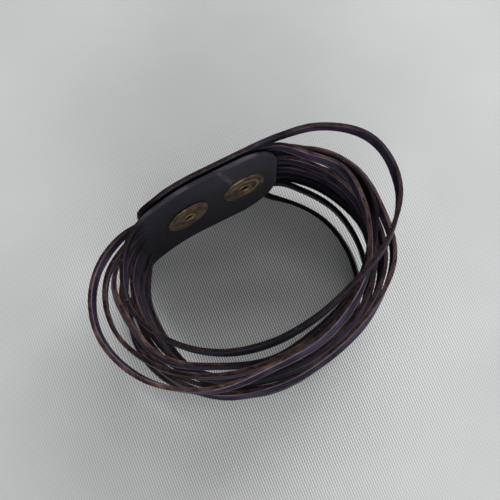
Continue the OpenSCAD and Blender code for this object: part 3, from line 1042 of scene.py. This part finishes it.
    def tab_grid(self, tab: Tab) -> tuple[np.ndarray, np.ndarray, np.ndarray]:
        """Grid of a tab's faces.

        Args:
            tab: which tab.

        Returns:
            Distance from the slits, height, and distance from the outline, each a
            row for every height. All are in millimetres.
        """
        p, r = self.plan, self.arris_mm
        length, corner = ((p.inner_tab_len, p.inner_tab_corner) if tab is Tab.INNER
                          else (p.outer_tab_len, p.outer_tab_corner))
        z = self.levels()
        short = np.maximum(0, corner - np.minimum(z, p.width - z))
        end = length - corner + np.sqrt(np.maximum(0, corner ** 2 - short ** 2))
        plain = length - corner - self.middle_mm
        columns = [np.full(len(z), plain * i / self.plain_columns)
                   for i in range(self.plain_columns + 1)]
        columns += [plain + (end - r - plain) * i / self.middle_columns
                    for i in range(1, self.middle_columns)]
        columns += [end - r * e for e, _ in self.ROUND[::-1]]
        s = np.array(columns).T
        high = np.repeat(z[:, None], s.shape[1], axis=1)
        dz = np.minimum(high, p.width - high)
        ds = length - s
        inside = np.where((dz < corner) & (ds < corner),
                          corner - np.hypot(corner - dz, corner - ds), np.minimum(dz, ds))
        return s, high, inside

    def tab_spots(self, tab: Tab, s: np.ndarray, z: np.ndarray, deep: np.ndarray) -> np.ndarray:
        """Points of a tab.

        Args:
            tab: which tab.
            s: distances from its slits.
            z: heights.
            deep: depths, from its middle surface away from the wrist.

        Returns:
            A row for each point, in metres.
        """
        p = self.plan
        if tab is Tab.OUTER:
            s = p.outer_root_s - s
            deep = p.outer_offset(s) + deep
        return p.place(np.column_stack([p.tab_plan(s, deep), z]))

    def tab_arrays(self, tab: Tab) -> tuple[list[tuple[int, ...]], dict[str, np.ndarray]]:
        """Faces and points of a tab, open at its slits.

        Args:
            tab: which tab.

        Returns:
            Faces, and the points in metres with the values that they carry.
        """
        p, r = self.plan, self.arris_mm
        s, high, inside = self.tab_grid(tab)
        e = np.clip(inside, 0, r)
        half = p.leather_t / 2 - r + np.sqrt(np.maximum(0, r ** 2 - (r - e) ** 2))
        cut = 1 - np.arccos(np.clip(1 - e / r, -1, 1)) / (np.pi / 2)
        rows, cols = s.shape
        grid = np.arange(rows * cols).reshape(rows, cols)
        chain = np.concatenate([grid[0, :], grid[1:, -1], grid[-1, -2::-1]])
        s, z, half, cut, inside = (v.ravel() for v in (s, high, half, cut, inside))
        zeros = np.zeros(len(chain))

        # The face to the wrist, the outer face, and the wall's middle line
        sheets = ((s, z, -half), (s, z, half), (s[chain], z[chain], zeros))
        points = np.vstack([self.tab_spots(tab, *sheet) for sheet in sheets])
        size, wall = rows * cols, 2 * rows * cols
        quads = np.stack([grid[:-1, :-1], grid[:-1, 1:], grid[1:, 1:], grid[1:, :-1]], axis=-1)
        quads = quads.reshape(-1, 4)
        faces = [tuple(q) for q in quads.tolist()]
        faces += [tuple(q[::-1]) for q in (quads + size).tolist()]
        for i in range(len(chain) - 1):
            m, n = int(chain[i]), int(chain[i + 1])
            faces.append((n, m, wall + i, wall + i + 1))
            faces.append((wall + i + 1, wall + i, m + size, n + size))
        way = -1 if tab is Tab.INNER else 1
        strip = np.vstack([np.column_stack([a * way, b - p.width / 2, c]) for a, b, c in sheets])
        count = len(points)
        return faces, {
            "points": points, "strip": strip * MM, "raw": np.full(count, self.TAB_RAW[tab]),
            "cut": np.concatenate([cut, cut, zeros + 1]),
            "rim": np.concatenate([inside, inside, zeros]) * MM, "tab": np.ones(count)}

    def welded(self) -> Mesh:
        """Joins strands and tabs into one closed mesh.

        Returns:
            The mesh.
        """
        strands = self.swept_strands()
        faces = [tuple(f.vertices) for f in strands.polygons]
        parts = [{name: read_attribute(strands, name, 1).ravel() for name in self.CARRIED}]
        parts[0]["strip"] = read_attribute(strands, "strip", 3)
        parts[0]["points"] = np.array([v.co for v in strands.vertices], float)
        for tab in Tab:
            start = sum(len(part["points"]) for part in parts)
            tab_faces, tab_values = self.tab_arrays(tab)
            faces += [tuple(start + i for i in f) for f in tab_faces]
            parts.append(tab_values)
        values = stacked(parts)
        mesh = carrying("leather_strip", values.pop("points"), [], faces, values)
        work = bmesh.new()
        work.from_mesh(mesh)
        bmesh.ops.remove_doubles(work, verts=work.verts, dist=self.weld_mm * MM)
        bmesh.ops.recalc_face_normals(work, faces=work.faces)
        LOG.info("leather: %d points, %d edges that aren't closed", len(work.verts),
                 sum(not e.is_manifold for e in work.edges))
        work.to_mesh(mesh)
        work.free()
        return mesh

    def pierced(self, piece: Object) -> None:
        """Cuts the holes for the press studs' barrels through both tabs.

        Args:
            piece: the leather.
        """
        p = self.plan
        radius = p.barrel_d / 2 + 2 * p.play
        for snap in Snap:
            origin, axes = p.snap_frame(snap)
            drill = bmesh.new()
            bmesh.ops.create_cone(drill, cap_ends=True, segments=self.drill_segments,
                                  radius1=radius, radius2=radius,
                                  depth=p.stack + 4 * p.leather_t)
            mesh = bpy.data.meshes.new("drill")
            drill.to_mesh(mesh)
            drill.free()
            centre = Vector(origin + axes[:, 2] * p.stack / 2)
            mesh.transform(Matrix.Translation(centre) @ Matrix(axes.tolist()).to_4x4())
            mesh.transform(Matrix.Scale(MM, 4))
            tool = mesh_object("drill", mesh)
            cutter = piece.modifiers.new("hole", "BOOLEAN")
            cutter.operation = "DIFFERENCE"
            cutter.solver = "MANIFOLD"
            cutter.object = tool
            done = frozen(piece)
            piece.modifiers.clear()
            piece.data = done
            bpy.data.objects.remove(tool)

    def build(self) -> Object:
        """Builds the strip's leather and stands it for the plain solid.

        Returns:
            The leather.
        """
        piece = mesh_object("leather_strip", self.welded())
        self.pierced(piece)
        piece.data.name = "leather_strip"
        piece.data.materials.clear()
        piece.data.materials.append(self.finish)
        piece.data.shade_smooth()
        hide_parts("leather_band")
        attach(piece, "root")
        return piece


# Press studs


@dataclass
class PressStud:
    """One press stud.

    The flange and the cap are turned in detail, and the parts between the tabs
    keep their plain solids.
    """

    plan: StripPlan
    snap: Snap
    finish: Material
    segments: int = 128
    flange_rows: int = 70
    cap_rows: int = 46

    # Flange: its hole, its sheet's thickness, the skirt under it, the width of its
    # rolled rim, the share of the relief left at the hole, and a step in the hole
    eyelet_d: float = 2.4
    sheet_mm: float = 0.33
    skirt_mm: float = 0.02
    roll_mm: float = 0.3
    hole_low: float = 0.75
    hole_step_mm: float = 0.08

    # Cap: its dome's rise over a foot, how much wider than the cap the dome would
    # be, heights of the last two rows of the rolled rim, and how far it turns in
    dome_mm: float = 1.38
    dome_foot_mm: float = 0.07
    dome_reach: float = 1.12
    rim_rolled_mm: tuple[float, float] = (0.55, 0.3)
    rim_back_mm: float = 0.2

    # Wear of the cap: its level, that of the ring near its rim with the ring's
    # distance and half width in millimetres, and that of its back
    cap_wear: tuple[float, ...] = (0.25, 0.2, 5.4, 0.5, 0.1)

    # The side painted brighter as a highlight, up and to the right, and by what share
    lit_degrees: float = 250.0
    lit_share: float = 0.28

    # Ridges and grooves of each flange, from the middle out: distance, half width
    # and height in millimetres, and wear
    RIDGES = {
        Snap.LEFT: ((1.6, 0.35, 0.36, 0.85), (3.3, 0.4, 0.14, 0.45), (4.4, 0.4, -0.12, 0.0),
                    (5.6, 0.4, 0.18, 0.5)),
        Snap.RIGHT: ((1.75, 0.3, 0.36, 0.75), (2.75, 0.35, -0.12, 0.0), (4.0, 0.42, 0.28, 1.0),
                     (5.6, 0.4, 0.16, 0.45)),
    }
    FLAT_WEAR = 0.2

    # Wear of the flange behind its face: its back, the barrel and down the hole,
    # where less than 0 is painted shade
    HIDDEN_WEAR_AND_SHADE = (0.1, 0.1, 0.1, -0.6, -0.6)

    @property
    def side(self) -> str:
        """The press stud's name."""
        return self.snap.name.lower()

    def relief(self, r: np.ndarray) -> tuple[np.ndarray, np.ndarray]:
        """Relief of the flange over its flat back, and how rubbed it is.

        Args:
            r: distances from the middle, in millimetres.

        Returns:
            Heights in millimetres and wear from 0 to 1.
        """
        height = np.full_like(r, self.sheet_mm)
        worn = np.full_like(r, self.FLAT_WEAR)
        for at, wide, tall, rubbed in self.RIDGES[self.snap]:
            bell = np.exp(-((r - at) / wide) ** 2)
            height += tall * bell
            worn = np.maximum(worn, rubbed * bell)
        fall = np.clip((self.plan.flange_d / 2 - r) / self.roll_mm, 0, 1)
        return height * np.sqrt(1 - (1 - fall) ** 2) + self.skirt_mm, worn

    def turned(self, name: str, profile: np.ndarray, worn: np.ndarray) -> Object:
        """Turns a closed profile round the stud's axis.

        Args:
            name: name of the piece.
            profile: rows of distance from the axis and height along it, in millimetres.
            worn: wear of each row, with painted shade where it is below 0.

        Returns:
            The piece.
        """
        origin, axes = self.plan.snap_frame(self.snap)
        n = self.segments
        angle = 2 * np.pi * np.arange(n) / n
        work = bmesh.new()
        layer = work.verts.layers.float.new("worn")
        rings = []
        for (r, h), wear_and_painted_light in zip(profile, worn):
            spots = [(r * math.cos(a), r * math.sin(a), h) for a in angle]
            if r < 1e-6:
                spots = [(0.0, 0.0, h)]
            ring = []
            for spot, turn in zip(spots, angle):
                vert = work.verts.new(((origin + axes @ np.array(spot)) * MM).tolist())
                # Painted highlight: the wear grows toward one side, as if light fell there
                lit = math.cos(turn - math.radians(self.lit_degrees))
                vert[layer] = wear_and_painted_light * (1 - self.lit_share + self.lit_share * lit)
                ring.append(vert)
            rings.append(ring)
        for a, b in zip(rings, rings[1:] + rings[:1]):
            for i in range(n):
                j = (i + 1) % n
                # A ring of one point is the pole of a cap
                corners = [a[i % len(a)], b[i % len(b)], b[j % len(b)], a[j % len(a)]]
                loop = list(dict.fromkeys(corners))
                if len(loop) > 2:
                    work.faces.new(loop)
        bmesh.ops.recalc_face_normals(work, faces=work.faces)
        mesh = bpy.data.meshes.new(name)
        work.to_mesh(mesh)
        work.free()
        mesh.materials.append(self.finish)
        mesh.shade_smooth()
        return mesh_object(name, mesh)

    def flange(self) -> Object:
        """The wrist side: a ridged flange round a hole, with the barrel behind it.

        Returns:
            The piece, which stands for the post.
        """
        p = self.plan
        back = -p.leather_t / 2 - p.hollow(self.snap, p.flange_d) - p.play
        hole, rim = self.eyelet_d / 2, p.flange_d / 2
        r = np.linspace(hole, rim, self.flange_rows)
        height, worn = self.relief(r)
        height[0] *= self.hole_low
        front = np.column_stack([r, back - height])
        end = p.leather_t / 2 + p.play
        rest = np.array([[rim, back], [p.barrel_d / 2, back], [p.barrel_d / 2, end], [hole, end],
                         [hole, back - self.hole_step_mm]])
        profile = np.vstack([front, rest])
        worn = np.concatenate([worn, self.HIDDEN_WEAR_AND_SHADE])
        piece = self.turned(f"flange_{self.side}", profile, worn)
        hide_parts(f"post_{self.side}")
        return piece

    def cap(self) -> Object:
        """The outside: a low dome with a rolled rim, with its barrel in the outer tab.

        Returns:
            The piece, which stands for the plain cap.
        """
        p = self.plan
        face = p.stack + p.leather_t / 2 + p.play
        barrel_end = p.stack - p.leather_t / 2 - p.play
        rim = p.flange_d / 2
        r = np.linspace(0, rim, self.cap_rows)
        round_part = np.sqrt(np.clip(1 - (r / (rim * self.dome_reach)) ** 2, 0, 1))
        dome = self.dome_mm * round_part + self.dome_foot_mm
        dome[-2:] = self.rim_rolled_mm
        front = np.column_stack([r, face + dome])
        rest = np.array([[rim - self.rim_back_mm, face], [p.barrel_d / 2, face],
                         [p.barrel_d / 2, barrel_end], [0, barrel_end]])
        level, ring, at, wide, behind = self.cap_wear
        worn = level + ring * np.exp(-((r - at) / wide) ** 2)
        worn = np.append(worn, [behind] * len(rest))
        piece = self.turned(f"cap_{self.side}_domed", np.vstack([front, rest]), worn)
        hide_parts(f"cap_{self.side}")
        return piece

    def build(self) -> list[Object]:
        """Builds the turned pieces and dresses the plain ones.

        Returns:
            The turned pieces.
        """
        made = [self.flange(), self.cap()]
        for piece in made:
            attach(piece, "root")
        for name in (f"stud_{self.side}", f"socket_{self.side}"):
            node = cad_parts[name]
            node.data.materials.clear()
            node.data.materials.append(self.finish)
        return made


# Stage


@dataclass
class Studio:
    """Floor, light and camera, in metres unless a name says millimetres."""

    plan: StripPlan
    target_mm: tuple[float, float, float] = (0.0, 0.0, 17.0)
    distance_mm: float = 390.0
    elevation: float = 70.0
    focal_mm: float = 105.3
    sensor_mm: float = 36.0
    floor_half: float = 1.5
    lamp_size: float = 0.9
    room: str = "#eaebed"

    # The room's light: the heights of a direction between which it eases, and its
    # strength at each
    rise: Range = (0.5, 0.95, 0.7, 0.0)

    # Square soft lights: name, place and power in watts
    LAMPS = (("window", (0.45, 0.95, 0.5), 14.8), ("wall", (1.0, 0.1, 0.45), 3.3),
             ("fill", (0.2, -1.1, 0.3), 14.0))

    def floor(self) -> None:
        """Lays the cloth."""
        mesh = bpy.data.meshes.new("floor")
        corners = [(x * self.floor_half, y * self.floor_half, 0)
                   for x, y in ((-1, -1), (1, -1), (1, 1), (-1, 1))]
        mesh.from_pydata(corners, [], [(0, 1, 2, 3)])
        mesh.materials.append(PaleCloth().material())
        mesh_object("floor", mesh)

    def aimed(self, name: str, data: ID, place: Vector, way: Vector) -> Object:
        """Stands a camera or a lamp at a place.

        Args:
            name: its name.
            data: its camera or light data.
            place: where it stands.
            way: the direction it looks in.

        Returns:
            The object.
        """
        thing = bpy.data.objects.new(name, data)
        thing.location = place
        thing.rotation_mode = "QUATERNION"
        thing.rotation_quaternion = way.to_track_quat("-Z", "Y")
        bpy.context.scene.collection.objects.link(thing)
        return thing

    def camera(self) -> None:
        """Sets the camera at the photograph's angle."""
        target = Vector(self.plan.place(np.array(self.target_mm)).tolist())
        rise = math.radians(self.elevation)
        back = Vector((0, -math.cos(rise), math.sin(rise)))
        data = bpy.data.cameras.new("camera")
        data.lens = self.focal_mm
        data.sensor_width = self.sensor_mm
        data.clip_start, data.clip_end = 0.01, 10
        place = target + back * self.distance_mm * MM
        bpy.context.scene.camera = self.aimed("camera", data, place, -back)

    def light(self) -> None:
        """Lights the room softly from its sides, with nothing from straight overhead."""
        world = bpy.data.worlds.new("studio")
        node = fresh_nodes(world)
        way = node("ShaderNodeTexCoord", out="Generated")
        up = node("ShaderNodeSeparateXYZ", (way,), "Z")
        level = node(MAP_RANGE, (up, *self.rise), **SMOOTH)
        back = node("ShaderNodeBackground", {"Color": self.room, "Strength": level})
        node("ShaderNodeOutputWorld", {"Surface": back}, None)
        bpy.context.scene.world = world
        for name, place, power in self.LAMPS:
            data = bpy.data.lights.new(name, "AREA")
            data.shape = "SQUARE"
            data.size = self.lamp_size
            data.energy = power
            self.aimed(name, data, Vector(place), -Vector(place))
        bpy.context.scene.view_settings.view_transform = "Standard"

    def build(self) -> None:
        """Sets everything that isn't part of the object."""
        self.camera()
        self.floor()
        self.light()


def main() -> None:
    """Builds the stage, the leather and the press studs."""
    logging.basicConfig(level=logging.INFO, format="%(name)s: %(message)s")
    plan = StripPlan()
    Studio(plan).build()
    strip = LeatherStrip(plan, DyedLeather().material()).build()
    LOG.info("%s built, %d faces", strip.name, len(strip.data.polygons))
    brass = AntiqueBrass().material()
    for snap in Snap:
        for piece in PressStud(plan, snap, brass).build():
            LOG.info("%s built, %d faces", piece.name, len(piece.data.polygons))


if __name__ == "__main__":
    main()
